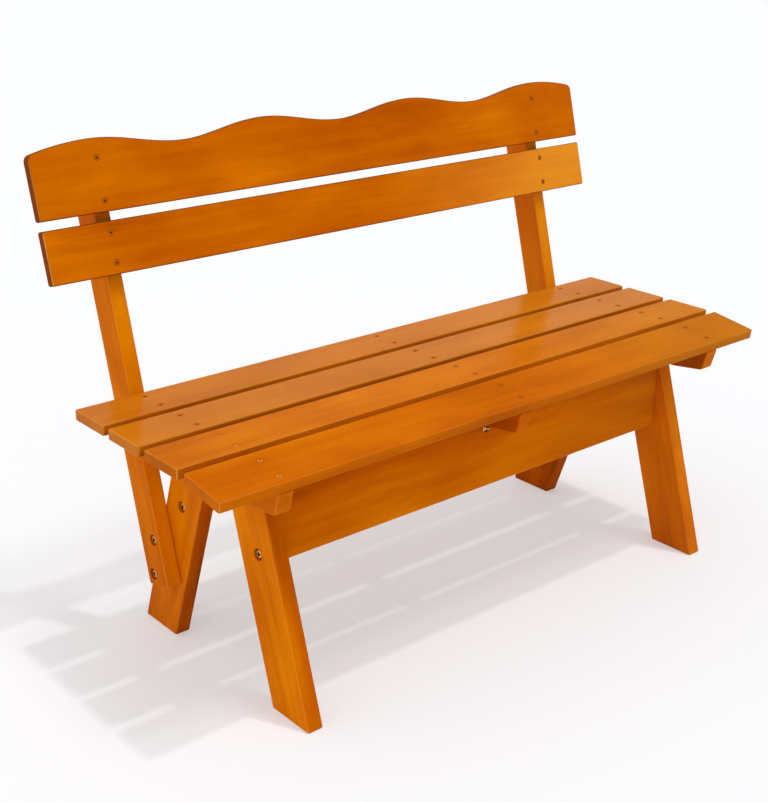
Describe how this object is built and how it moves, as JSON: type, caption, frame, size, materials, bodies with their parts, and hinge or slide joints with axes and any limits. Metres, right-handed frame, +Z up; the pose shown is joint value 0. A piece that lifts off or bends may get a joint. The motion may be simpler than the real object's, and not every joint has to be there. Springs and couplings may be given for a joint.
{
  "type": "garden bench",
  "caption": "Slatted wooden bench with a fixed, leaning back whose top slat has a wavy crest, on splayed bolted legs.",
  "frame": {"origin": "on the floor, at the middle of the bench's outer box", "axes": "+X along the bench to the sitter's left, +Y towards the back, +Z up"},
  "size_m": [1.2, 0.589, 0.8322],
  "materials": {
    "lacquered_pine": "orange-tinted gloss lacquer on planed pine",
    "yellow_zinc_steel": "yellow zinc plated steel",
    "bright_zinc_steel": "bright zinc plated steel"
  },
  "bodies": {
    "root": {"seat_slat_1": "lacquered_pine", "seat_slat_1_screw_left_front": "yellow_zinc_steel", "seat_slat_1_screw_left_rear": "yellow_zinc_steel", "seat_slat_1_screw_right_front": "yellow_zinc_steel", "seat_slat_1_screw_right_rear": "yellow_zinc_steel", "seat_slat_2": "lacquered_pine", "seat_slat_2_screw_left_front": "yellow_zinc_steel", "seat_slat_2_screw_left_rear": "yellow_zinc_steel", "seat_slat_2_screw_right_front": "yellow_zinc_steel", "seat_slat_2_screw_right_rear": "yellow_zinc_steel", "seat_slat_3": "lacquered_pine", "seat_slat_3_screw_left_front": "yellow_zinc_steel", "seat_slat_3_screw_left_rear": "yellow_zinc_steel", "seat_slat_3_screw_right_front": "yellow_zinc_steel", "seat_slat_3_screw_right_rear": "yellow_zinc_steel", "seat_slat_4": "lacquered_pine", "seat_slat_4_screw_left_front": "yellow_zinc_steel", "seat_slat_4_screw_left_rear": "yellow_zinc_steel", "seat_slat_4_screw_right_front": "yellow_zinc_steel", "seat_slat_4_screw_right_rear": "yellow_zinc_steel", "back_slat_lower": "lacquered_pine", "back_slat_lower_screw_left_lower": "yellow_zinc_steel", "back_slat_lower_screw_left_upper": "yellow_zinc_steel", "back_slat_lower_screw_right_lower": "yellow_zinc_steel", "back_slat_lower_screw_right_upper": "yellow_zinc_steel", "back_slat_crest": "lacquered_pine", "back_slat_crest_screw_left_lower": "yellow_zinc_steel", "back_slat_crest_screw_left_upper": "yellow_zinc_steel", "back_slat_crest_screw_right_lower": "yellow_zinc_steel", "back_slat_crest_screw_right_upper": "yellow_zinc_steel", "middle_bearer": "lacquered_pine", "front_stretcher": "lacquered_pine", "rear_stretcher": "lacquered_pine", "left_bearer": "lacquered_pine", "left_front_leg": "lacquered_pine", "left_rear_leg": "lacquered_pine", "left_post": "lacquered_pine", "left_front_bearer_bolt": "yellow_zinc_steel", "left_rear_bearer_bolt": "yellow_zinc_steel", "left_post_upper_bolt": "yellow_zinc_steel", "left_post_lower_bolt": "yellow_zinc_steel", "left_front_stretcher_bolt": "yellow_zinc_steel", "left_rear_stretcher_bolt": "yellow_zinc_steel", "left_front_barrel_nut": "yellow_zinc_steel", "left_rear_barrel_nut": "yellow_zinc_steel", "right_bearer": "lacquered_pine", "right_front_leg": "lacquered_pine", "right_rear_leg": "lacquered_pine", "right_post": "lacquered_pine", "right_front_bearer_bolt": "yellow_zinc_steel", "right_rear_bearer_bolt": "yellow_zinc_steel", "right_post_upper_bolt": "yellow_zinc_steel", "right_post_lower_bolt": "yellow_zinc_steel", "right_front_stretcher_bolt": "yellow_zinc_steel", "right_rear_stretcher_bolt": "yellow_zinc_steel", "right_front_barrel_nut": "yellow_zinc_steel", "right_rear_barrel_nut": "yellow_zinc_steel", "front_bracket": "bright_zinc_steel", "rear_bracket": "bright_zinc_steel"}
  },
  "joints": []
}
